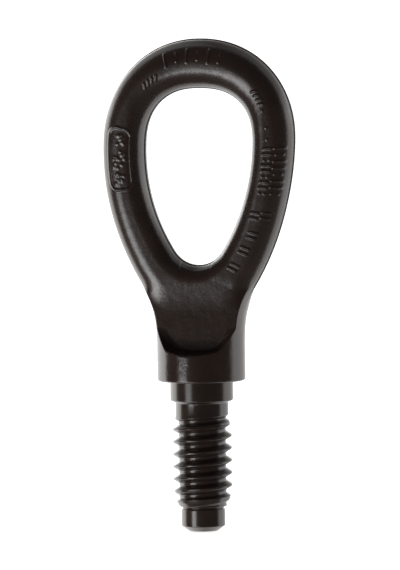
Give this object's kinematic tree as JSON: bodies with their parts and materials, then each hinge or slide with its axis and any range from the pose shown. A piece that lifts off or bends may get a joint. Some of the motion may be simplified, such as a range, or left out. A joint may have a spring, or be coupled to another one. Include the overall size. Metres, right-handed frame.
{
  "type": "eye bolt",
  "caption": "Screw-in towing eye bolt: pear-shaped forged eye, flattened neck, round collar with a seating face, and a coarse right-hand threaded shank with a dog point.",
  "frame": {"origin": "centre of the collar's underside, the face that seats against the socket when the eye is screwed home", "axes": "+Z along the bolt axis from the thread towards the eye; Y across the eye's plane, so the opening is looked through along Y; X across the eye"},
  "size_m": [0.064, 0.0284, 0.1593],
  "materials": {
    "forged_coat": "black dip coat over a drop-forged surface, satin with a fine pebbled texture",
    "turned_coat": "black coat over turned steel, semi-gloss and smoother than the forging"
  },
  "bodies": {
    "root": {"eye_crown": "forged_coat", "left_limb": "forged_coat", "right_limb": "forged_coat", "neck": "forged_coat", "collar": "forged_coat", "pilot": "turned_coat", "thread_relief": "turned_coat", "threaded_shank": "turned_coat", "dog_point": "turned_coat"}
  },
  "joints": []
}
